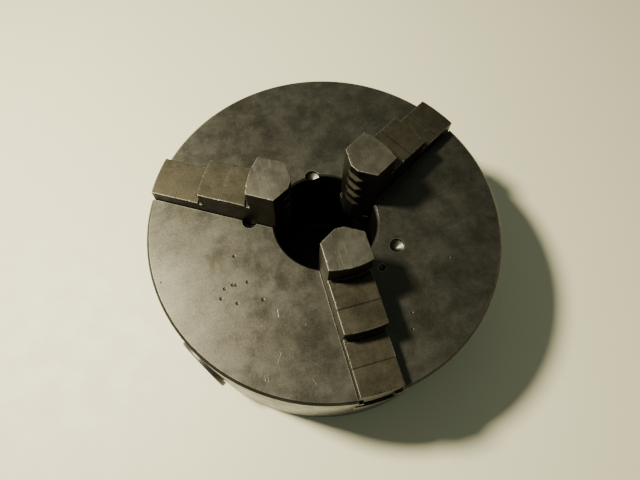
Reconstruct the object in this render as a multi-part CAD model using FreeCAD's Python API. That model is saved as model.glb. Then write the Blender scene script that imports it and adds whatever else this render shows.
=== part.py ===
import FreeCAD, Part
import math
import os
from FreeCAD import Vector

# Three-jaw self-centring scroll chuck, 200 mm body, millimetres.
# Origin: centre of the back face. +Z: spindle axis, towards the jaws.

# ---- driving dimensions: body -------------------------------------------------
BODY_R = 100.0
BODY_H = 78.0
BORE_R = 29.4
HUB_R = 34.0
FACE_CHAMFER = 1.5
BORE_CHAMFER = 1.0
BACK_CHAMFER = 1.0
CAVITY_R = 75.9
CAVITY_TOP = 56.0
REGISTER_R = 82.5
REGISTER_DEPTH = 6.0
COVER_RECESS_R = 81.5
COVER_SEAT_Z = 16.0
MOUNT_PCD_R = 90.0
MOUNT_HOLE_R = 4.25
MOUNT_HOLE_DEPTH = 22.0

# ---- driving dimensions: jaws and their slots -----------------------------------
JAW_AZIMUTHS = (150.0, 30.0, 270.0)
JAW_HALF_W = 11.5
JAW_TIP_X = 20.0
JAW_BEVEL_X = 25.35
NOSE_HALF_W = 2.55
STEP_HEIGHTS = (33.1, 18.7, 8.1)
STEP_ENDS_X = (40.3, 68.7, 97.6)
TREAD_STEP = 0.35
TREAD_STEP_X = (56.0, 83.6)
RELIEF_IN = 0.8
RELIEF_OUT = 1.6
RELIEF_DOWN = 1.2
RELIEF_UP = 1.5
GUIDE_LOW = 62.0
GUIDE_HIGH = 69.0
GUIDE_DEPTH = 3.6
GUIDE_CLEARANCE = 0.1
SLOT_CLEARANCE = 0.3
SERRATIONS = 4
SERRATION_PITCH = 8.75
SERRATION_DEPTH = 2.2
SERRATION_HALF = 3.6
SERRATION_LOW = 76.25

# ---- driving dimensions: scroll ---------------------------------------------------
SPIRAL_PITCH = 10.0
SPIRAL_GROOVE = 5.4
SPIRAL_IN_R = 36.0
SPIRAL_OUT_R = 75.0
SPIRAL_ROOTED = 1.0
SPIRAL_TURNS = 6
SPIRAL_POINTS = 24
SCROLL_R = 75.5
RUNNING = 0.05
THREAD_DEPTH = 5.5
AXIAL_GAP = 0.3
TOOTH_HALF = 2.5
TOOTH_CONVEX_R = 29.5
TOOTH_CONCAVE_R = 110.0
TOOTH_FIRST_R = 30.5
TOOTH_LAST_R = 94.0
SCROLL_UNDERSIDE = 45.0
RIM_UNDERSIDE = 47.6

# ---- driving dimensions: bevel gears ----------------------------------------------
MODULE = 2.0
PINION_TEETH = 10
SCROLL_TEETH = 69
PRESSURE_ANGLE = math.radians(20.0)
PINION_Z = 34.0
GEAR_IN_R = 56.0
CROWN_ADDENDUM = 1.1
PINION_ADDENDUM = 1.8
TIP_GAP = 0.3
HALF_BACKLASH = 0.125
ROOT_OVERLAP = 0.5

# ---- driving dimensions: pinions, bushes and retaining screws -----------------------
PINION_AZIMUTHS = (90.0, 210.0, 330.0)
JOURNAL_R = 13.0
JOURNAL_END = 101.3
TRUNNION_R = 6.0
TRUNNION_START = 37.0
SOCKET_HALF = 6.0
SOCKET_DEPTH = 15.0
SOCKET_MOUTH = 3.2
BUSH_R = 15.0
BUSH_START = 76.2
FLANGE_R = 17.2
FLANGE_SEAT = 99.5
FLANGE_THICK = 2.6
FLANGE_CHAMFER = 0.5
LOCK_SCREW_X = 89.0
LOCK_SCREW_R = 3.0
LOCK_DOG_R = 2.5
LOCK_GROOVE_R = 10.5
LOCK_GROOVE_HALF = 2.7
LOCK_KEY = 2.5
LOCK_LOW = 2.0

# ---- driving dimensions: back cover, bearing ring and small parts --------------------
COVER_THICK = 6.5
BEARING_RING_R = 46.0
COVER_SCREWS = 6
COVER_SCREW_PCD_R = 78.4
COVER_SCREW_R = 2.0
COVER_HEAD_R = 3.0
COVER_HEAD_H = 3.0
COVER_HEAD_SLOT = 1.0
COVER_THREAD_DEPTH = 12.0
DOWEL_R = 2.0
DOWEL_PCD_R = 40.0
DOWEL_LOW = 11.0
DOWEL_HIGH = 24.0
PRESS_GAP = 0.02

# Shallow drill marks in the face: distance from the axis, azimuth, radius, depth.
DRILL_MARKS = (
    (29.2, 89.8, 4.2, 2.2),
    (42.2, -36.6, 4.2, 2.2),
    (42.9, 165.4, 4.2, 2.2),
    (41.4, -58.4, 2.1, 1.2),
)

# ---- worked out from the above --------------------------------------------------------
TOOTH_TIP_Z = CAVITY_TOP - THREAD_DEPTH
SCROLL_TOP = TOOTH_TIP_Z - AXIAL_GAP
RIDGE_TOP = CAVITY_TOP - AXIAL_GAP
GEAR_OUT_R = MODULE * SCROLL_TEETH / 2
PINION_PITCH_R = MODULE * PINION_TEETH / 2
CROWN_ROOT = PINION_ADDENDUM + TIP_GAP
PINION_ROOT_R = PINION_PITCH_R - CROWN_ADDENDUM - TIP_GAP
COVER_LOW = COVER_SEAT_Z - COVER_THICK
Z_AXIS = Vector(0, 0, 1)


def turned(outline):
    """Solid of revolution about Z from (radius, height) points."""
    wire = Part.makePolygon([Vector(r, 0, z) for r, z in outline + outline[:1]])
    return Part.Face(wire).revolve(Vector(0, 0, 0), Z_AXIS, 360)


def tube(inner, outer, low, high):
    """Plain ring about Z."""
    return turned([(inner, low), (outer, low), (outer, high), (inner, high)])


def upright(radius, x, y, low, high):
    """Cylinder parallel to Z."""
    return Part.makeCylinder(radius, high - low, Vector(x, y, low), Z_AXIS)


def radial(radius, start, end):
    """Cylinder along +X at the height of the pinion axes."""
    return Part.makeCylinder(radius, end - start, Vector(start, 0, PINION_Z), Vector(1, 0, 0))


def block(x0, x1, half_y, z0, z1):
    """Box that is symmetric about the XZ plane."""
    return Part.makeBox(x1 - x0, 2 * half_y, z1 - z0, Vector(x0, -half_y, z0))


def prism(points, direction):
    """Prism on a planar polygon."""
    return Part.Face(Part.makePolygon(points + points[:1])).extrude(direction)


def loft(first, second):
    """Ruled solid between two polygons with the same number of corners."""
    wires = [Part.makePolygon(points + points[:1]) for points in (first, second)]
    return Part.makeLoft(wires, True, True)


def around(shape, azimuth):
    """Copy of a shape, turned about the spindle axis."""
    copy = shape.copy()
    copy.rotate(Vector(0, 0, 0), Z_AXIS, azimuth)
    return copy


def polar(radius, azimuth):
    """X and Y of a point given by distance and azimuth."""
    angle = math.radians(azimuth)
    return radius * math.cos(angle), radius * math.sin(angle)


# ---- chuck body -------------------------------------------------------------------------
def body_blank():
    """Turned blank: front wall, rim, hub, cavity, cover seat and register."""
    return turned([
        (BORE_R, COVER_LOW),
        (BORE_R, BODY_H - BORE_CHAMFER),
        (BORE_R + BORE_CHAMFER, BODY_H),
        (BODY_R - FACE_CHAMFER, BODY_H),
        (BODY_R, BODY_H - FACE_CHAMFER),
        (BODY_R, BACK_CHAMFER),
        (BODY_R - BACK_CHAMFER, 0),
        (REGISTER_R, 0),
        (REGISTER_R, REGISTER_DEPTH),
        (COVER_RECESS_R, REGISTER_DEPTH),
        (COVER_RECESS_R, COVER_SEAT_Z),
        (CAVITY_R, COVER_SEAT_Z),
        (CAVITY_R, CAVITY_TOP),
        (HUB_R, CAVITY_TOP),
        (HUB_R, COVER_LOW),
    ])


def jaw_slot():
    """Radial T-slot: wide at the face and at the bottom, with guide rails between."""
    wide = JAW_HALF_W + SLOT_CLEARANCE
    start, end = BORE_R / 2, BODY_R + 5
    slot = block(start, end, wide, GUIDE_HIGH, BODY_H + 1)
    slot = slot.fuse(block(start, end, wide - GUIDE_DEPTH, GUIDE_LOW - 1, GUIDE_HIGH + 1))
    return slot.fuse(block(start, end, wide, SCROLL_TOP, GUIDE_LOW))


def drill_mark(distance, azimuth, radius, depth):
    """Shallow flat-sided hole with a conical bottom."""
    x, y = polar(distance, azimuth)
    straight = upright(radius, x, y, BODY_H - depth, BODY_H + 1)
    cone = Part.makeCone(0.2, radius, 0.5 * radius, Vector(x, y, BODY_H - depth - 0.5 * radius), Z_AXIS)
    return straight.fuse(cone)


def mounting_hole(azimuth):
    """Blind tapped hole for a mounting screw, from the back face."""
    x, y = polar(MOUNT_PCD_R, azimuth)
    cone = Part.makeCone(MOUNT_HOLE_R, 0.2, MOUNT_HOLE_R / 2, Vector(x, y, MOUNT_HOLE_DEPTH), Z_AXIS)
    return upright(MOUNT_HOLE_R, x, y, -1, MOUNT_HOLE_DEPTH).fuse(cone)


def cover_screw_places():
    """X and Y of the cover screws."""
    step = 360 / COVER_SCREWS
    return [polar(COVER_SCREW_PCD_R, step * index) for index in range(COVER_SCREWS)]


def chuck_body():
    pinion_hole = radial(BUSH_R, CAVITY_R - 5, BODY_R + 5)
    pinion_hole = pinion_hole.fuse(radial(FLANGE_R + 0.2, FLANGE_SEAT, BODY_R + 5))
    pinion_hole = pinion_hole.fuse(upright(LOCK_SCREW_R, LOCK_SCREW_X, 0, -1, PINION_Z))
    cutters = [around(jaw_slot(), azimuth) for azimuth in JAW_AZIMUTHS]
    cutters += [around(pinion_hole, azimuth) for azimuth in PINION_AZIMUTHS]
    cutters += [mounting_hole(azimuth) for azimuth in JAW_AZIMUTHS]
    cutters += [drill_mark(*mark) for mark in DRILL_MARKS]
    for x, y in cover_screw_places():
        cutters.append(upright(COVER_SCREW_R, x, y, COVER_SEAT_Z - 1, COVER_SEAT_Z + COVER_THREAD_DEPTH + 1))
    body = body_blank()
    for cutter in cutters:
        body = body.cut(cutter)
    return body


# ---- jaws ---------------------------------------------------------------------------------
def nose_plan():
    """Plan outline of the jaw's bar, with the pointed nose."""
    far = STEP_ENDS_X[-1] + 5
    return [
        (JAW_TIP_X, -NOSE_HALF_W),
        (JAW_BEVEL_X, -JAW_HALF_W),
        (far, -JAW_HALF_W),
        (far, JAW_HALF_W),
        (JAW_BEVEL_X, JAW_HALF_W),
        (JAW_TIP_X, NOSE_HALF_W),
    ]


def riser_radius(end_x):
    """Radius of a convex riser that ends at end_x on the jaw's sides."""
    return math.hypot(end_x, JAW_HALF_W)


def jaw_tooth(centre, low, high):
    """Crescent tooth: its concave side faces the spindle axis, its convex side faces outwards."""
    height = high - low
    inner_centre = Vector(centre - TOOTH_HALF - TOOTH_CONCAVE_R, 0, low)
    outer_centre = Vector(centre + TOOTH_HALF - TOOTH_CONVEX_R, 0, low)
    tooth = block(centre - 6, centre + 6, JAW_HALF_W, low, high)
    tooth = tooth.cut(Part.makeCylinder(TOOTH_CONCAVE_R, height, inner_centre, Z_AXIS))
    return tooth.common(Part.makeCylinder(TOOTH_CONVEX_R, height, outer_centre, Z_AXIS))


def tooth_centres(azimuth):
    """Distances of a jaw's teeth, in step with the spiral at its azimuth."""
    offset = SPIRAL_PITCH * azimuth / 360
    first = math.ceil((TOOTH_FIRST_R - offset) / SPIRAL_PITCH)
    last = math.floor((TOOTH_LAST_R - offset) / SPIRAL_PITCH)
    return [offset + SPIRAL_PITCH * turn for turn in range(first, last + 1)]


def jaw(azimuth):
    tops = [BODY_H + height for height in STEP_HEIGHTS]
    bar = prism([Vector(x, y, CAVITY_TOP) for x, y in nose_plan()], Vector(0, 0, tops[0] - CAVITY_TOP))
    far = BODY_R + 20
    for end_x, top in zip(STEP_ENDS_X, tops[1:] + [CAVITY_TOP - 1]):
        bar = bar.cut(tube(riser_radius(end_x), far, top, tops[0] + 1))
    for end_x, top in zip(STEP_ENDS_X, tops[1:]):
        riser = riser_radius(end_x)
        bar = bar.cut(tube(riser - RELIEF_IN, riser + RELIEF_OUT, top - RELIEF_DOWN, top + RELIEF_UP))
    for step_x, top in zip(TREAD_STEP_X, tops[1:]):
        end = step_x + STEP_ENDS_X[-1] - STEP_ENDS_X[-2]
        bar = bar.cut(block(step_x, end, JAW_HALF_W + 1, top - TREAD_STEP, top + 1))
    low, high = GUIDE_LOW - GUIDE_CLEARANCE, GUIDE_HIGH + GUIDE_CLEARANCE
    neck = JAW_HALF_W + SLOT_CLEARANCE - GUIDE_DEPTH - GUIDE_CLEARANCE
    groove = block(0, far, JAW_HALF_W + 1, low, high).cut(block(-1, far + 1, neck, low - 1, high + 1))
    bar = bar.cut(groove)
    for index in range(SERRATIONS):
        z = SERRATION_LOW + SERRATION_PITCH * index
        notch = [
            Vector(JAW_TIP_X - 1, -JAW_HALF_W, z - SERRATION_HALF),
            Vector(JAW_TIP_X + SERRATION_DEPTH, -JAW_HALF_W, z),
            Vector(JAW_TIP_X - 1, -JAW_HALF_W, z + SERRATION_HALF),
        ]
        bar = bar.cut(prism(notch, Vector(0, 2 * JAW_HALF_W, 0)))
    for centre in tooth_centres(azimuth):
        bar = bar.fuse(jaw_tooth(centre, TOOTH_TIP_Z, CAVITY_TOP))
    return around(bar.removeSplitter(), azimuth)


# ---- scroll plate -----------------------------------------------------------------------------
def spiral_points(offset):
    """Points of an Archimedean spiral, offset radially from the middle of the ridge."""
    points = []
    for index in range(SPIRAL_TURNS * SPIRAL_POINTS + 1):
        turn = index / SPIRAL_POINTS
        x, y = polar(SPIRAL_IN_R - SPIRAL_PITCH + SPIRAL_PITCH * turn + offset, 360 * turn)
        points.append(Vector(x, y, SCROLL_TOP - SPIRAL_ROOTED))
    return points


def spiral_arcs(points):
    """Chain of arcs, each through three points in turn."""
    starts = range(0, len(points) - 2, 2)
    return [Part.Arc(*points[start:start + 3]).toShape() for start in starts]


def spiral_ridge():
    """Spiral thread; its grooves lie where the jaw teeth are."""
    half = (SPIRAL_PITCH - SPIRAL_GROOVE) / 2
    inner, outer = spiral_points(-half), spiral_points(half)
    edges = spiral_arcs(inner)
    edges.append(Part.makeLine(inner[-1], outer[-1]))
    edges += reversed(spiral_arcs(outer))
    edges.append(Part.makeLine(outer[0], inner[0]))
    height = RIDGE_TOP - SCROLL_TOP + SPIRAL_ROOTED
    ridge = Part.Face(Part.Wire(edges)).extrude(Vector(0, 0, height))
    # The ridge lies half a pitch outside the groove, whose radius is a whole number of pitches at azimuth 0.
    shift = SPIRAL_IN_R - SPIRAL_PITCH / 2
    ridge = around(ridge, 360 * (shift % SPIRAL_PITCH) / SPIRAL_PITCH)
    low = SCROLL_TOP - SPIRAL_ROOTED - 1
    return ridge.common(tube(SPIRAL_IN_R, SPIRAL_OUT_R, low, RIDGE_TOP + 1))


def scaled_to_apex(points, radius):
    """Corners of a gear tooth section, moved along the cone to another radius."""
    scale = radius / GEAR_OUT_R
    return [Vector(p.x * scale, p.y * scale, PINION_Z + (p.z - PINION_Z) * scale) for p in points]


def crown_tooth():
    """One straight-sided bevel tooth under the scroll."""
    pitch_z = PINION_Z + PINION_PITCH_R
    half = math.pi * MODULE / 4 - HALF_BACKLASH
    low, high = -CROWN_ADDENDUM, CROWN_ROOT + ROOT_OVERLAP
    widths = [half + height * math.tan(PRESSURE_ANGLE) for height in (low, high)]
    section = [
        Vector(GEAR_OUT_R, -widths[0], pitch_z + low),
        Vector(GEAR_OUT_R, widths[0], pitch_z + low),
        Vector(GEAR_OUT_R, widths[1], pitch_z + high),
        Vector(GEAR_OUT_R, -widths[1], pitch_z + high),
    ]
    return loft(section, scaled_to_apex(section, GEAR_IN_R))


def scroll_plate():
    root_slope = (PINION_PITCH_R + CROWN_ROOT) / GEAR_OUT_R
    cone_in, cone_out = GEAR_IN_R - 2, GEAR_OUT_R + 0.5
    blank = turned([
        (HUB_R + RUNNING, SCROLL_UNDERSIDE),
        (cone_in - 1, SCROLL_UNDERSIDE),
        (cone_in, PINION_Z + root_slope * cone_in),
        (cone_out, PINION_Z + root_slope * cone_out),
        (cone_out, RIM_UNDERSIDE),
        (SCROLL_R, RIM_UNDERSIDE),
        (SCROLL_R, SCROLL_TOP),
        (HUB_R + RUNNING, SCROLL_TOP),
    ])
    tooth = crown_tooth()
    step = 360 / SCROLL_TEETH
    teeth = [around(tooth, PINION_AZIMUTHS[0] + step * index) for index in range(SCROLL_TEETH)]
    # The blank's seam is turned into a tooth gap.
    blank = around(blank, PINION_AZIMUTHS[0] + step / 2)
    return blank.fuse(teeth).fuse(spiral_ridge())


# ---- pinions ------------------------------------------------------------------------------------
def involute(angle):
    return math.tan(angle) - angle


def pinion_tooth():
    """One involute bevel tooth, on the pinion's upper side, tapering towards the spindle axis."""
    base_r = PINION_PITCH_R * math.cos(PRESSURE_ANGLE)
    tip_r = PINION_PITCH_R + PINION_ADDENDUM
    at_pitch = math.pi / (2 * PINION_TEETH) - HALF_BACKLASH / PINION_PITCH_R
    flank = [(PINION_ROOT_R - ROOT_OVERLAP, at_pitch + involute(PRESSURE_ANGLE))]
    for step in range(5):
        radius = base_r + (tip_r - base_r) * step / 4
        pressure = math.acos(base_r / radius)
        flank.append((radius, at_pitch + involute(PRESSURE_ANGLE) - involute(pressure)))
    corners = flank + [(radius, -angle) for radius, angle in reversed(flank)]
    section = [
        Vector(GEAR_OUT_R, radius * math.sin(angle), PINION_Z + radius * math.cos(angle))
        for radius, angle in corners
    ]
    return loft(section, scaled_to_apex(section, GEAR_IN_R))


def pinion(azimuth):
    groove = radial(JOURNAL_R + 1, LOCK_SCREW_X - LOCK_GROOVE_HALF, LOCK_SCREW_X + LOCK_GROOVE_HALF)
    groove = groove.cut(radial(LOCK_GROOVE_R, LOCK_SCREW_X - 5, LOCK_SCREW_X + 5))
    shaft = radial(JOURNAL_R, GEAR_OUT_R + 0.5, JOURNAL_END).cut(groove)
    shaft = shaft.fuse(radial(TRUNNION_R, TRUNNION_START, GEAR_OUT_R))
    root_in = PINION_ROOT_R * GEAR_IN_R / GEAR_OUT_R
    gear = Part.makeCone(root_in, PINION_ROOT_R, GEAR_OUT_R - GEAR_IN_R,
                         Vector(GEAR_IN_R, 0, PINION_Z), Vector(1, 0, 0))
    shaft = shaft.fuse(gear).fuse(radial(PINION_ROOT_R, GEAR_OUT_R - 0.2, GEAR_OUT_R + 1))
    tooth = pinion_tooth()
    teeth = []
    for index in range(PINION_TEETH):
        copy = tooth.copy()
        copy.rotate(Vector(0, 0, PINION_Z), Vector(1, 0, 0), (index + 0.5) * 360 / PINION_TEETH)
        teeth.append(copy)
    shaft = shaft.fuse(teeth)
    socket = block(JOURNAL_END - SOCKET_DEPTH, JOURNAL_END + 1, SOCKET_HALF,
                   PINION_Z - SOCKET_HALF, PINION_Z + SOCKET_HALF)
    mouth = Part.makeCone(SOCKET_HALF, SOCKET_HALF + SOCKET_MOUTH, SOCKET_MOUTH,
                          Vector(JOURNAL_END + 1 - SOCKET_MOUTH, 0, PINION_Z), Vector(1, 0, 0))
    return around(shaft.cut(socket).cut(mouth), azimuth)


def pinion_bush(azimuth):
    """Flanged bush in the rim; the pinion's journal runs in it."""
    end = FLANGE_SEAT + FLANGE_THICK
    bush = radial(BUSH_R - PRESS_GAP, BUSH_START, end)
    flange = radial(FLANGE_R, FLANGE_SEAT, end - FLANGE_CHAMFER)
    flange = flange.fuse(Part.makeCone(FLANGE_R, FLANGE_R - FLANGE_CHAMFER, FLANGE_CHAMFER,
                                       Vector(end - FLANGE_CHAMFER, 0, PINION_Z), Vector(1, 0, 0)))
    bush = bush.fuse(flange).cut(radial(JOURNAL_R + RUNNING, BUSH_START - 1, BODY_R + 5))
    bush = bush.cut(upright(LOCK_DOG_R + 0.1, LOCK_SCREW_X, 0, 0, PINION_Z))
    return around(bush, azimuth)


def pinion_screw(azimuth):
    """Dog-point set screw from the back face; its point runs in the pinion's groove."""
    body_top = PINION_Z - BUSH_R - 0.3
    dog_top = PINION_Z - LOCK_GROOVE_R - 0.5
    screw = upright(LOCK_SCREW_R - PRESS_GAP, LOCK_SCREW_X, 0, LOCK_LOW, body_top)
    screw = screw.fuse(upright(LOCK_DOG_R, LOCK_SCREW_X, 0, body_top - 1, dog_top))
    half = LOCK_KEY / 2
    socket = block(LOCK_SCREW_X - half, LOCK_SCREW_X + half, half, 0, LOCK_LOW + LOCK_KEY)
    return around(screw.cut(socket), azimuth)


# ---- cover, bearing ring, screws and dowels ---------------------------------------------------------
def back_cover():
    cover = tube(HUB_R + 0.1, COVER_RECESS_R - 0.1, COVER_LOW, COVER_SEAT_Z)
    for x, y in cover_screw_places():
        cover = cover.cut(upright(COVER_SCREW_R + 0.25, x, y, COVER_LOW - 1, COVER_SEAT_Z + 1))
    for azimuth in JAW_AZIMUTHS:
        x, y = polar(DOWEL_PCD_R, azimuth)
        cover = cover.cut(upright(DOWEL_R, x, y, DOWEL_LOW, COVER_SEAT_Z + 1))
    return cover


def bearing_ring():
    """Ring on the hub that carries the pinions' inner ends and supports the scroll."""
    ring = tube(HUB_R + PRESS_GAP, BEARING_RING_R, COVER_SEAT_Z, SCROLL_UNDERSIDE - AXIAL_GAP / 2)
    hole = radial(TRUNNION_R + RUNNING, HUB_R - 1, BEARING_RING_R + 1)
    for azimuth in PINION_AZIMUTHS:
        ring = ring.cut(around(hole, azimuth))
    for azimuth in JAW_AZIMUTHS:
        x, y = polar(DOWEL_PCD_R, azimuth)
        ring = ring.cut(upright(DOWEL_R, x, y, COVER_SEAT_Z - 1, DOWEL_HIGH))
    return ring


def cover_screw(x, y):
    """Slotted cheese-head screw."""
    shank_top = COVER_SEAT_Z + COVER_THREAD_DEPTH
    screw = upright(COVER_SCREW_R - PRESS_GAP, x, y, COVER_LOW - 1, shank_top)
    screw = screw.fuse(upright(COVER_HEAD_R, x, y, COVER_LOW - COVER_HEAD_H, COVER_LOW))
    slot = block(-COVER_HEAD_R - 1, COVER_HEAD_R + 1, COVER_HEAD_SLOT / 2,
                 COVER_LOW - COVER_HEAD_H - 1, COVER_LOW - COVER_HEAD_H + COVER_HEAD_SLOT)
    slot.translate(Vector(x, y, 0))
    return screw.cut(slot)


def dowel_pin(azimuth):
    x, y = polar(DOWEL_PCD_R, azimuth)
    return upright(DOWEL_R - PRESS_GAP, x, y, DOWEL_LOW, DOWEL_HIGH)


def save(name, shape):
    solid = shape.Solids[0] if len(shape.Solids) == 1 else shape
    print(f"{name}: valid {solid.isValid()}, solids {len(shape.Solids)}, volume {solid.Volume:.0f}")
    solid.exportStep(os.path.join("parts", name + ".step"))


os.makedirs("parts", exist_ok=True)
save("chuck_body", chuck_body())
save("scroll_plate", scroll_plate())
save("back_cover", back_cover())
save("bearing_ring", bearing_ring())
for number, azimuth in enumerate(JAW_AZIMUTHS, start=1):
    save(f"jaw_{number}", jaw(azimuth))
    save(f"dowel_pin_{number}", dowel_pin(azimuth))
for number, azimuth in enumerate(PINION_AZIMUTHS, start=1):
    save(f"pinion_{number}", pinion(azimuth))
    save(f"pinion_bush_{number}", pinion_bush(azimuth))
    save(f"pinion_screw_{number}", pinion_screw(azimuth))
for number, (x, y) in enumerate(cover_screw_places(), start=1):
    save(f"cover_screw_{number}", cover_screw(x, y))
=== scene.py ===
import math
import random

import bpy
import numpy as np
from mathutils import Matrix, Vector, noise


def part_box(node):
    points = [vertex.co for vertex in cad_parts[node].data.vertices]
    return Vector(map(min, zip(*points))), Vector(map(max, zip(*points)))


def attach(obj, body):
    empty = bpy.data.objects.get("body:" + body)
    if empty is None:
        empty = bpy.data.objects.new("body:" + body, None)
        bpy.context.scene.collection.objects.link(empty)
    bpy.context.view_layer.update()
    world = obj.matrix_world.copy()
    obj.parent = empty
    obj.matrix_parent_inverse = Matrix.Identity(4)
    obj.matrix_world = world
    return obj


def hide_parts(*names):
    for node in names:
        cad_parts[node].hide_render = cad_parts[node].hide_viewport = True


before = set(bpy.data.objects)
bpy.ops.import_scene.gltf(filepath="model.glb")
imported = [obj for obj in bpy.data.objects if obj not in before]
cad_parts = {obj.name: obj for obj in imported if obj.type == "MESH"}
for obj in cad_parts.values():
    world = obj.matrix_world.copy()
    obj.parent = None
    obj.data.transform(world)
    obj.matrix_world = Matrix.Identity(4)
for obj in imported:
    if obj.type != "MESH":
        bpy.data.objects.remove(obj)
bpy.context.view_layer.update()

# ---- sizes, in metres; the body's radius and face come from the frame -----------
MM = 0.001
_, BODY_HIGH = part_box("chuck_body")
BODY_R = BODY_HIGH[0]
FACE_Z = BODY_HIGH[2]
BORE_R = 29.4 * MM
SLOT_HALF = 11.6 * MM
JAW_AZIMUTH = {"jaw_1": 150.0, "jaw_2": 30.0, "jaw_3": 270.0}
WELD_GAP = 0.001 * MM
BODY_ROUND = 0.35 * MM
RING_ROUND = 0.25 * MM
SMALL_ROUND = 0.12 * MM
SHARP_ANGLE = math.radians(32)
TABLE_HALF = 3.0
TABLE_GAP = 0.05 * MM

# Wear of the jaws' fine meshes: voxel size, depth of the nicks, how sharply an edge bends, how many
# vertices its wear spreads over, then the noise scales (per metre) and levels of the nicks and hollows.
JAW_VOXEL = 0.26 * MM
JAW_NICK = 0.5 * MM
EDGE_BEND = 0.05 * MM
EDGE_SPREAD = 4
NICK_SCALE, FINE_NICK_SCALE, NICK_LEVEL = 420.0, 950.0, 0.22
HOLLOW_SCALE, HOLLOW_LEVEL, HOLLOW_SHARE = 230.0, 0.52, 0.35

# A loose group of small dents and a few short bright scratches on the left and lower left of the face:
# azimuths in degrees, distances, spreads and lengths in millimetres.
DENT_COUNT = 8
DENT_AZIMUTH, DENT_R, DENT_SPREAD = 205, 65, 9
SCRATCH_COUNT = 6
SCRATCH_AZIMUTH, SCRATCH_R, SCRATCH_SPREAD = 240, 78, 11
SCRATCH_LENGTH = 7
SCRATCH_HEADING, SCRATCH_TURN = 105, 25
RANDOM_SEED = 4

# ---- colours: tones run from dark to light, and an edge is the metal's worn edge ---
BODY_TONES = (0.042, 0.038, 0.024), (0.070, 0.066, 0.046), (0.106, 0.101, 0.075)
BODY_EDGE = (0.30, 0.285, 0.225)
WALL_TONES = (0.024, 0.023, 0.019), (0.064, 0.062, 0.052)
JAW_TONES = (0.033, 0.028, 0.015), (0.054, 0.046, 0.026), (0.080, 0.071, 0.045)
JAW_EDGE = (0.15, 0.14, 0.105)
JAW_TIP_TONES = (0.062, 0.057, 0.039), (0.100, 0.094, 0.067)
JAW_WORN_LINE = (0.235, 0.222, 0.17)
JAW_HAIR = (0.17, 0.16, 0.12)
DARK_TONES = (0.06, 0.055, 0.045), (0.11, 0.10, 0.085), (0.18, 0.17, 0.15)
BUSH_TONES = (0.050, 0.047, 0.036), (0.085, 0.080, 0.064), (0.13, 0.125, 0.10)
IRON_TONES = (0.07, 0.065, 0.055), (0.13, 0.12, 0.10), (0.20, 0.19, 0.17)
SMALL_PART_EDGE = (0.50, 0.48, 0.42)
TABLE_TONES = (0.680, 0.640, 0.405), (0.720, 0.680, 0.435)
RUST = (0.085, 0.056, 0.026)
PIT_DIRT = (0.02, 0.018, 0.014)
# The next colour is painted shade in the dents.
DENT_PAINTED_SHADE = (0.03, 0.028, 0.02)
SCRATCH_BRIGHT = (0.27, 0.26, 0.21)
# The next colour is grease and painted shade inside the bore and the slots.
SLOT_GREASE_AND_SHADE = (0.010, 0.010, 0.008)
# The next colour is grime and painted shade on the jaws' upright flanks and risers.
FLANK_GRIME_AND_SHADE = (0.012, 0.010, 0.006)
# The next colour darkens the jaws below the level of the face.
JAW_BELOW_FACE_TONE = (0.020, 0.018, 0.014)
# The next colour is painted shade on the table under the bore, where the chuck keeps the light off.
TABLE_BORE_SHADE = (0.012, 0.012, 0.010)

# ---- view and light --------------------------------------------------------------
# The camera and the main lamp are placed in body radii from the centre of the face, the fill lamp in
# metres from the origin, and all three are turned about the axis by VIEW_TURN.
VIEW_TURN = math.radians(-19.13)
CAMERA_PLACE = Vector((-0.026, -1.2217, 2.5849))
CAMERA_ELEVATION = math.radians(66.94)
CAMERA_ROLL = math.radians(3.41)
CAMERA_LENS = 28.44
MAIN_LAMP_PLACE = Vector((-4.16, 0.33, 5.62))
MAIN_LAMP_SIZE, MAIN_LAMP_POWER = 0.10, 16.5
MAIN_LAMP_COLOUR = (1.0, 0.95, 0.80)
FILL_LAMP_PLACE = Vector((-0.3, 1.3, 1.2))
FILL_LAMP_SIZE, FILL_LAMP_POWER = 1.2, 0.6
FILL_LAMP_COLOUR = (1.0, 0.97, 0.90)
SKY_COLOUR = (0.86, 1.0, 0.92, 1)
SKY_STRENGTH = 0.175


# ---- camera ---------------------------------------------------------------------
def make_camera():
    """Camera above the front of the chuck, as the photograph was taken."""
    turn = Matrix.Rotation(VIEW_TURN, 3, "Z")
    right = Vector((1, 0, 0))
    up = Vector((0, math.sin(CAMERA_ELEVATION), math.cos(CAMERA_ELEVATION)))
    back = Vector((0, -math.cos(CAMERA_ELEVATION), math.sin(CAMERA_ELEVATION)))
    x_axis = math.cos(CAMERA_ROLL) * right + math.sin(CAMERA_ROLL) * up
    y_axis = -math.sin(CAMERA_ROLL) * right + math.cos(CAMERA_ROLL) * up
    place = turn @ (CAMERA_PLACE * BODY_R) + Vector((0, 0, FACE_Z))
    columns = Matrix((turn @ x_axis, turn @ y_axis, turn @ back)).transposed()
    data = bpy.data.cameras.new("camera")
    data.lens = CAMERA_LENS
    data.sensor_width = 36.0
    data.clip_start = 0.01
    camera = bpy.data.objects.new("camera", data)
    camera.matrix_world = Matrix.Translation(place) @ columns.to_4x4()
    bpy.context.scene.collection.objects.link(camera)
    bpy.context.scene.camera = camera


# ---- light ------------------------------------------------------------------------
def area_light(name, place, size, power, colour):
    """Round area light that faces the middle of the chuck's face."""
    data = bpy.data.lights.new(name, "AREA")
    data.shape = "DISK"
    data.size = size
    data.energy = power
    data.color = colour
    lamp = bpy.data.objects.new(name, data)
    lamp.location = place
    aim = Vector((0, 0, FACE_Z)) - Vector(place)
    lamp.rotation_euler = aim.to_track_quat("-Z", "Y").to_euler()
    bpy.context.scene.collection.objects.link(lamp)


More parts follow.
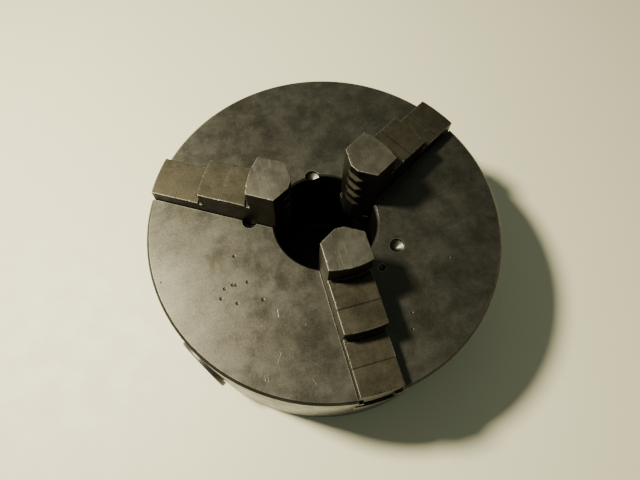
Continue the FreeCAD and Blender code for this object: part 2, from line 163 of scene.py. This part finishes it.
def make_lights():
    """One main lamp at the upper left, a wide weak fill and a pale sky."""
    turn = Matrix.Rotation(VIEW_TURN, 3, "Z")
    main = turn @ (MAIN_LAMP_PLACE * BODY_R) + Vector((0, 0, FACE_Z))
    area_light("main_lamp", main, MAIN_LAMP_SIZE, MAIN_LAMP_POWER, MAIN_LAMP_COLOUR)
    fill = turn @ FILL_LAMP_PLACE
    area_light("fill_lamp", fill, FILL_LAMP_SIZE, FILL_LAMP_POWER, FILL_LAMP_COLOUR)
    world = bpy.data.worlds.new("sky")
    world.use_nodes = True
    sky = world.node_tree.nodes["Background"]
    sky.inputs["Color"].default_value = SKY_COLOUR
    sky.inputs["Strength"].default_value = SKY_STRENGTH
    bpy.context.scene.world = world


# ---- node helpers -------------------------------------------------------------------
class Shader:
    """Builds one procedural material, one node at a time."""

    def __init__(self, name):
        self.material = bpy.data.materials.new(name)
        self.material.use_nodes = True
        self.nodes = self.material.node_tree.nodes
        self.links = self.material.node_tree.links
        self.surface = self.nodes["Principled BSDF"]
        self.place = self.nodes.new("ShaderNodeTexCoord").outputs["Object"]

    def node(self, kind, inputs=None, **settings):
        """Adds a node; inputs maps socket names to values or to other sockets."""
        made = self.nodes.new(kind)
        for key, value in settings.items():
            setattr(made, key, value)
        for key, value in (inputs or {}).items():
            if isinstance(value, bpy.types.NodeSocket):
                self.links.new(value, made.inputs[key])
            else:
                made.inputs[key].default_value = value
        return made

    def noise(self, scale, detail=4.0, roughness=0.55, distortion=0.0, place=None):
        """Fractal noise in the row frame; scale is features per metre."""
        inputs = {"Vector": place or self.place, "Scale": scale, "Detail": detail,
                  "Roughness": roughness, "Distortion": distortion}
        return self.node("ShaderNodeTexNoise", inputs).outputs["Fac"]

    def stretched(self, factors, angle=0.0):
        """The place, turned about Z and scaled per axis."""
        inputs = {"Vector": self.place, "Rotation": (0, 0, angle), "Scale": factors}
        return self.node("ShaderNodeMapping", inputs).outputs["Vector"]

    def ramp(self, value, low, high, start=0.0, end=1.0):
        """Smooth change from start to end as value goes from low to high."""
        inputs = {"Value": value, "From Min": low, "From Max": high, "To Min": start, "To Max": end}
        return self.node("ShaderNodeMapRange", inputs, interpolation_type="SMOOTHSTEP").outputs["Result"]

    def math(self, operation, first, second=0.0):
        """One sum on two values or sockets."""
        made = self.node("ShaderNodeMath", operation=operation)
        for socket, value in zip(made.inputs, (first, second)):
            if isinstance(value, bpy.types.NodeSocket):
                self.links.new(value, socket)
            else:
                socket.default_value = value
        return made.outputs["Value"]

    def times(self, first, second):
        return self.math("MULTIPLY", first, second)

    def sunk(self, mask):
        """A height that drops where the mask is 1."""
        return self.math("SUBTRACT", 1.0, mask)

    def mix(self, factor, first, second):
        """Mix of two colours."""
        made = self.node("ShaderNodeMix", data_type="RGBA")
        for socket, value in ((made.inputs[0], factor), (made.inputs[6], first), (made.inputs[7], second)):
            if isinstance(value, bpy.types.NodeSocket):
                self.links.new(value, socket)
            elif isinstance(value, tuple):
                socket.default_value = (*value, 1)
            else:
                socket.default_value = value
        return made.outputs[2]

    def split(self, vector):
        """X, Y and Z of a vector."""
        return self.node("ShaderNodeSeparateXYZ", {"Vector": vector}).outputs

    def length(self, across, along):
        """Length of a flat vector from its two parts."""
        square = self.math("ADD", self.times(across, across), self.times(along, along))
        return self.math("SQRT", square)

    def near_point(self, spot, radius, soft):
        """1 inside a small circle on the face, fading out over the soft width."""
        x, y, _ = self.split(self.place)
        across = self.math("SUBTRACT", x, spot[0] * MM)
        along = self.math("SUBTRACT", y, spot[1] * MM)
        return self.ramp(self.length(across, along), radius + soft, radius)

    def near_line(self, start, end, half_width):
        """1 on a thin straight line between two places on the face."""
        x, y, _ = self.split(self.place)
        length = math.dist(start, end)
        way = ((end[0] - start[0]) / length, (end[1] - start[1]) / length)
        dx = self.math("SUBTRACT", x, start[0] * MM)
        dy = self.math("SUBTRACT", y, start[1] * MM)
        along = self.math("ADD", self.times(dx, way[0]), self.times(dy, way[1]))
        off = self.math("SUBTRACT", self.times(dy, way[0]), self.times(dx, way[1]))
        line = self.ramp(self.math("ABSOLUTE", off), half_width * MM, 0.0)
        middle = self.math("ABSOLUTE", self.math("SUBTRACT", along, 0.5 * length * MM))
        return self.times(line, self.ramp(middle, 0.5 * length * MM, 0.3 * length * MM))

    def upright(self):
        """1 on upright walls, 0 on level ground."""
        height = self.split(self.node("ShaderNodeTexCoord").outputs["Normal"])[2]
        return self.ramp(self.math("ABSOLUTE", height), 0.6, 0.3)

    def edge_wear(self, width):
        """1 on convex and concave edges, 0 on flat ground."""
        soft = self.node("ShaderNodeBevel", {"Radius": width}, samples=6).outputs["Normal"]
        flat = self.node("ShaderNodeNewGeometry").outputs["Normal"]
        made = self.node("ShaderNodeVectorMath", operation="DOT_PRODUCT")
        self.links.new(soft, made.inputs[0])
        self.links.new(flat, made.inputs[1])
        return self.ramp(made.outputs["Value"], 0.995, 0.86)

    def bumps(self, heights):
        """Chain of bump nodes from (height socket, distance in metres, strength)."""
        normal = None
        for height, distance, strength in heights:
            inputs = {"Height": height, "Distance": distance, "Strength": strength}
            if normal:
                inputs["Normal"] = normal
            normal = self.node("ShaderNodeBump", inputs).outputs["Normal"]
        self.links.new(normal, self.surface.inputs["Normal"])

    def finish(self, colour, roughness, metallic):
        """Links the colour and the roughness and gives back the material."""
        self.links.new(colour, self.surface.inputs["Base Color"])
        self.links.new(roughness, self.surface.inputs["Roughness"])
        self.surface.inputs["Metallic"].default_value = metallic
        return self.material


def scratches(shader, scale, angle, width):
    """Thin scattered lines in one direction: 1 on a scratch."""
    warp = shader.stretched((scale, scale * 0.03, scale), angle)
    lines = shader.noise(1.0, 2.0, 0.5, 0.0, warp)
    off = shader.math("ABSOLUTE", shader.math("SUBTRACT", lines, 0.5))
    return shader.ramp(off, width, 0.0)


def worn_steel(name, tones, edge, rough, grain_angle=0.0, wear_width=0.9 * MM):
    """Old ground steel: mottled patina, stains, fine grain, scratches, small pits and bright worn edges.

    Gives the shader, its colour and roughness sockets, and the heights for its bumps.
    """
    s = Shader(name)
    dark, middle, light = tones
    patches = s.noise(13.0, 6.0, 0.62, 0.2)
    clouds = s.noise(75.0, 7.0, 0.72, 0.1)
    blend = s.math("ADD", s.times(patches, 0.55), s.times(clouds, 0.45))
    colour = s.mix(s.ramp(blend, 0.34, 0.66), dark, middle)
    bright = s.ramp(s.noise(48.0, 7.0, 0.72, 0.3), 0.48, 0.74, 0.0, 0.45)
    colour = s.mix(bright, colour, light)
    speckle = s.noise(1100.0, 3.0, 0.7)
    colour = s.mix(s.ramp(speckle, 0.35, 0.75, 0.0, 0.35), colour, light)
    grain = s.noise(1.0, 3.0, 0.6, 0.0, s.stretched((90.0, 1500.0, 900.0), grain_angle))
    colour = s.mix(s.ramp(grain, 0.45, 0.72, 0.0, 0.30), colour, dark)
    smudge = s.ramp(s.noise(24.0, 7.0, 0.74, 0.3), 0.54, 0.72, 0.0, 0.40)
    colour = s.mix(smudge, colour, tuple(0.55 * value for value in dark))
    rust = s.ramp(s.noise(130.0, 5.0, 0.7, 0.8), 0.62, 0.76, 0.0, 0.35)
    colour = s.mix(rust, colour, RUST)
    cells = s.node("ShaderNodeTexVoronoi", {"Vector": s.place, "Scale": 170.0})
    sparse = s.ramp(s.noise(70.0, 2.0), 0.62, 0.68)
    pit = s.times(s.ramp(cells.outputs["Distance"], 0.13, 0.06), sparse)
    colour = s.mix(s.times(pit, 0.75), colour, PIT_DIRT)
    marks = s.math("MAXIMUM", scratches(s, 260.0, grain_angle, 0.0025),
                   scratches(s, 190.0, grain_angle + 1.1, 0.002))
    marks = s.times(marks, s.ramp(s.noise(45.0, 3.0), 0.50, 0.70))
    colour = s.mix(s.times(marks, 0.05), colour, edge)
    worn = s.ramp(s.noise(260.0, 4.0, 0.65), 0.34, 0.52, 0.30, 1.0)
    wear = s.times(s.edge_wear(wear_width), worn)
    colour = s.mix(wear, colour, edge)
    roughness = s.ramp(clouds, 0.3, 0.7, rough - 0.06, rough + 0.09)
    roughness = s.math("SUBTRACT", roughness, s.times(wear, 0.12))
    heights = [
        (speckle, 0.05 * MM, 0.5),
        (grain, 0.02 * MM, 0.4),
        (clouds, 0.25 * MM, 0.20),
        (s.sunk(pit), 0.4 * MM, 0.7),
        (s.sunk(marks), 0.02 * MM, 0.2),
    ]
    return s, colour, roughness, heights


def scattered(azimuth, distance, spread):
    """One place near a spot on the face, in millimetres from the axis."""
    angle = math.radians(azimuth)
    return (distance * math.cos(angle) + random.gauss(0, spread),
            distance * math.sin(angle) + random.gauss(0, spread))


def slots_and_bore(s, x, y, radius):
    """1 over the bore and the three jaw slots, seen along the axis."""
    hollow = s.ramp(radius, BORE_R + 0.6 * MM, BORE_R + 0.2 * MM)
    for azimuth in JAW_AZIMUTH.values():
        out = (math.cos(math.radians(azimuth)), math.sin(math.radians(azimuth)))
        off = s.math("SUBTRACT", s.times(y, out[0]), s.times(x, out[1]))
        along = s.math("ADD", s.times(x, out[0]), s.times(y, out[1]))
        strip = s.ramp(s.math("ABSOLUTE", off), SLOT_HALF + 3.0 * MM, SLOT_HALF + 2.0 * MM)
        hollow = s.math("MAXIMUM", hollow, s.times(strip, s.ramp(along, 0.0, 2.0 * MM)))
    return hollow


def face_dents(s):
    """1 in each small dent of the face."""
    dent = 0.0
    for _ in range(DENT_COUNT):
        spot = scattered(DENT_AZIMUTH, DENT_R, DENT_SPREAD)
        dent = s.math("MAXIMUM", s.near_point(spot, 0.05 * MM, 1.0 * MM), dent)
    return dent


def face_scratches(s):
    """1 on each short scratch of the face."""
    scratch = 0.0
    for _ in range(SCRATCH_COUNT):
        start = scattered(SCRATCH_AZIMUTH, SCRATCH_R, SCRATCH_SPREAD)
        heading = math.radians(random.gauss(SCRATCH_HEADING, SCRATCH_TURN))
        length = SCRATCH_LENGTH * random.uniform(0.4, 1.0)
        end = (start[0] + length * math.cos(heading), start[1] + length * math.sin(heading))
        scratch = s.math("MAXIMUM", s.near_line(start, end, random.uniform(0.10, 0.18)), scratch)
    return scratch


def make_body_steel():
    """The body: stained face, scratches, dents with painted shade, streaked wall, bore and slots with
    grease and painted shade.
    """
    s, colour, roughness, heights = worn_steel("body_steel", BODY_TONES, BODY_EDGE, 0.40)
    x, y, z = s.split(s.place)
    radius = s.length(x, y)
    at_rim = s.ramp(radius, BODY_R - 0.8 * MM, BODY_R - 0.2 * MM)
    on_wall = s.times(at_rim, s.ramp(z, FACE_Z - 0.5 * MM, FACE_Z - 2.0 * MM))
    streaks = s.noise(1.0, 4.0, 0.6, 0.0, s.stretched((24.0, 24.0, 5.0)))
    wall_tone = s.mix(s.ramp(streaks, 0.35, 0.65), *WALL_TONES)
    colour = s.mix(s.times(on_wall, 0.85), colour, wall_tone)
    roughness = s.math("SUBTRACT", roughness, s.times(on_wall, 0.10))

    # Deep in the bore and the slots the colour goes almost black: grease and painted shade.
    hollow = slots_and_bore(s, x, y, radius)
    inside_rim = s.ramp(radius, BODY_R - 1.0 * MM, BODY_R - 2.0 * MM)
    below = s.times(inside_rim, s.ramp(z, FACE_Z - 2.2 * MM, FACE_Z - 4.0 * MM))
    colour = s.mix(s.times(s.times(hollow, below), 0.94), colour, SLOT_GREASE_AND_SHADE)

    on_face = s.ramp(z, FACE_Z - 0.6 * MM, FACE_Z - 0.2 * MM)
    dent = s.times(face_dents(s), on_face)
    # The dents are darkened a little: painted shade in their hollows.
    colour = s.mix(s.times(dent, 0.12), colour, DENT_PAINTED_SHADE)
    scratch = s.times(face_scratches(s), on_face)
    colour = s.mix(s.times(scratch, 0.7), colour, SCRATCH_BRIGHT)
    heights += [(s.sunk(dent), 0.45 * MM, 1.0), (s.sunk(scratch), 0.10 * MM, 0.6)]
    s.bumps(heights)
    return s.finish(colour, roughness, 0.9)


def make_jaw_steel():
    """The jaws: browned treads, lighter ground tips, grime and painted shade on upright faces, dark below
    the face.
    """
    s, colour, roughness, heights = worn_steel("jaw_steel", JAW_TONES, JAW_EDGE, 0.46, 0.5, 0.7 * MM)
    z = s.split(s.place)[2]
    top = s.ramp(z, FACE_Z + 31.5 * MM, FACE_Z + 32.8 * MM)
    ground = s.mix(s.ramp(s.noise(120.0, 4.0), 0.35, 0.65), *JAW_TIP_TONES)
    colour = s.mix(s.times(top, 0.75), colour, ground)
    # Upright flanks and risers of the jaws are darkened: grime and painted shade.
    grime_and_shade = s.times(s.upright(), s.ramp(s.noise(180.0, 4.0, 0.7), 0.25, 0.75, 0.80, 0.45))
    colour = s.mix(grime_and_shade, colour, FLANK_GRIME_AND_SHADE)
    # The jaws go much darker below the level of the face.
    low = s.ramp(z, FACE_Z, FACE_Z - 3.0 * MM)
    colour = s.mix(s.times(low, 0.85), colour, JAW_BELOW_FACE_TONE)
    wear = s.times(s.edge_wear(1.1 * MM), s.ramp(z, FACE_Z - 1.0 * MM, FACE_Z + 2.0 * MM))
    patchy = s.ramp(s.noise(300.0, 3.0, 0.6), 0.36, 0.56, 0.35, 0.9)
    colour = s.mix(s.times(wear, patchy), colour, JAW_WORN_LINE)
    hairs = s.math("MAXIMUM", scratches(s, 150.0, 0.9, 0.012), scratches(s, 130.0, 2.2, 0.010))
    hairs = s.times(hairs, s.times(top, s.ramp(s.noise(110.0, 3.0), 0.42, 0.62)))
    colour = s.mix(s.times(hairs, 0.30), colour, JAW_HAIR)
    heights.append((s.sunk(hairs), 0.04 * MM, 0.4))
    s.bumps(heights)
    return s.finish(colour, roughness, 0.88)


def make_plain_steel(name, tones, rough):
    """The other metal parts: the same worn steel in their own tones."""
    s, colour, roughness, heights = worn_steel(name, tones, SMALL_PART_EDGE, rough)
    s.bumps(heights)
    return s.finish(colour, roughness, 0.8)


def make_floor_material():
    """Pale laminate table top with a faint fine texture and a disc of painted shade under the bore."""
    s = Shader("table_top")
    tone = s.ramp(s.noise(2.2, 3.0), 0.3, 0.7)
    colour = s.mix(tone, *TABLE_TONES)
    x, y, _ = s.split(s.place)
    # Painted shade: the table goes dark under the bore, where the chuck keeps the light off it.
    bore_shade = s.ramp(s.length(x, y), BORE_R + 6.0 * MM, BORE_R + 2.0 * MM)
    colour = s.mix(bore_shade, colour, TABLE_BORE_SHADE)
    roughness = s.ramp(s.noise(60.0, 3.0), 0.3, 0.7, 0.50, 0.60)
    s.bumps([(s.noise(1500.0, 2.0), 0.04 * MM, 0.4)])
    return s.finish(colour, roughness, 0.0)


def make_floor(material):
    """The table top, a hair below the chuck's back face."""
    mesh = bpy.data.meshes.new("table")
    corners = [(-1, -1), (1, -1), (1, 1), (-1, 1)]
    mesh.from_pydata([(x * TABLE_HALF, y * TABLE_HALF, 0) for x, y in corners], [], [(0, 1, 2, 3)])
    mesh.materials.append(material)
    table = bpy.data.objects.new("table", mesh)
    table.location.z = -TABLE_GAP
    bpy.context.scene.collection.objects.link(table)


# ---- pieces -----------------------------------------------------------------------------
def neighbour_mean(values, ends, counts):
    """Mean over each vertex's neighbours."""
    total = np.zeros_like(values)
    np.add.at(total, ends[:, 0], values[ends[:, 1]])
    np.add.at(total, ends[:, 1], values[ends[:, 0]])
    return total / counts


def knock_edges(mesh, depth, seed):
    """Pushes small nicks into the convex edges and shallow hollows into the faces of a fine mesh."""
    count = len(mesh.vertices)
    places = np.empty(count * 3)
    mesh.vertices.foreach_get("co", places)
    places = places.reshape(-1, 3)
    normals = np.empty(count * 3)
    mesh.vertex_normals.foreach_get("vector", normals)
    normals = normals.reshape(-1, 3)
    ends = np.empty(len(mesh.edges) * 2, dtype=np.int64)
    mesh.edges.foreach_get("vertices", ends)
    ends = ends.reshape(-1, 2)
    counts = np.maximum(np.bincount(ends.ravel(), minlength=count), 1)[:, None]
    bend = np.sum((places - neighbour_mean(places, ends, counts)) * normals, axis=1)[:, None]
    edge = np.clip(bend / EDGE_BEND, 0, 1)
    for _ in range(EDGE_SPREAD):
        edge = np.maximum(edge, neighbour_mean(edge, ends, counts) * 1.1)
    edge = np.clip(edge, 0, 1)[:, 0]
    offset = Vector((seed * 0.37, seed * 0.11, seed * 0.23))
    nicks = np.empty(count)
    hollows = np.empty(count)
    for index, place in enumerate(places):
        point = Vector(place) + offset
        nicks[index] = noise.noise(point * NICK_SCALE) + 0.5 * noise.noise(point * FINE_NICK_SCALE)
        hollows[index] = noise.noise(point * HOLLOW_SCALE)
    pushed = np.clip(nicks - NICK_LEVEL, 0, 1) * edge * depth
    pushed += np.clip(hollows - HOLLOW_LEVEL, 0, 1) * HOLLOW_SHARE * depth
    places -= normals * pushed[:, None]
    mesh.vertices.foreach_set("co", places.ravel())
    mesh.update()


def worn_copy(node, azimuth, voxel, depth, seed):
    """A CAD node's shape as a fine mesh with slightly rounded, knocked edges, in the row frame."""
    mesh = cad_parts[node].data.copy()
    mesh.name = node + "_worn"
    turn = Matrix.Rotation(math.radians(-azimuth), 4, "Z")
    mesh.transform(turn)
    piece = bpy.data.objects.new(node + "_worn", mesh)
    bpy.context.scene.collection.objects.link(piece)
    weld = piece.modifiers.new("weld", "WELD")
    weld.merge_threshold = WELD_GAP
    remesh = piece.modifiers.new("remesh", "REMESH")
    remesh.mode = "VOXEL"
    remesh.voxel_size = voxel
    smooth = piece.modifiers.new("smooth", "SMOOTH")
    smooth.factor = 0.5
    smooth.iterations = 1
    graph = bpy.context.evaluated_depsgraph_get()
    made = bpy.data.meshes.new_from_object(piece.evaluated_get(graph))
    piece.modifiers.clear()
    piece.data = made
    knock_edges(made, depth, seed)
    made.transform(turn.inverted())
    made.shade_smooth()
    return piece


def paint(obj, material):
    """Gives the object one material."""
    obj.data.materials.clear()
    obj.data.materials.append(material)


def round_edges(obj, width):
    """Rounds the edges of a CAD node without changing its mesh."""
    weld = obj.modifiers.new("weld", "WELD")
    weld.merge_threshold = WELD_GAP
    bevel = obj.modifiers.new("rounded_edges", "BEVEL")
    bevel.width = width
    bevel.segments = 3
    bevel.limit_method = "ANGLE"
    bevel.angle_limit = SHARP_ANGLE
    bevel.miter_outer = "MITER_ARC"
    bevel.harden_normals = True


random.seed(RANDOM_SEED)
make_camera()
make_lights()
make_floor(make_floor_material())
BODY_STEEL = make_body_steel()
JAW_STEEL = make_jaw_steel()
DARK_STEEL = make_plain_steel("dark_steel", DARK_TONES, 0.42)
BUSH_STEEL = make_plain_steel("bush_steel", BUSH_TONES, 0.42)
IRON = make_plain_steel("cover_iron", IRON_TONES, 0.50)

for name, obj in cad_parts.items():
    if name.startswith("jaw"):
        continue
    if name == "chuck_body":
        paint(obj, BODY_STEEL)
        round_edges(obj, BODY_ROUND)
    elif name.startswith("pinion_bush"):
        paint(obj, BUSH_STEEL)
        round_edges(obj, RING_ROUND)
    elif name in ("back_cover", "bearing_ring"):
        paint(obj, IRON)
        round_edges(obj, RING_ROUND)
    else:
        paint(obj, DARK_STEEL)
        round_edges(obj, SMALL_ROUND)

for index, (name, azimuth) in enumerate(JAW_AZIMUTH.items()):
    jaw = worn_copy(name, azimuth, JAW_VOXEL, JAW_NICK, index + 1)
    paint(jaw, JAW_STEEL)
    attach(jaw, name + "_body")
    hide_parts(name)
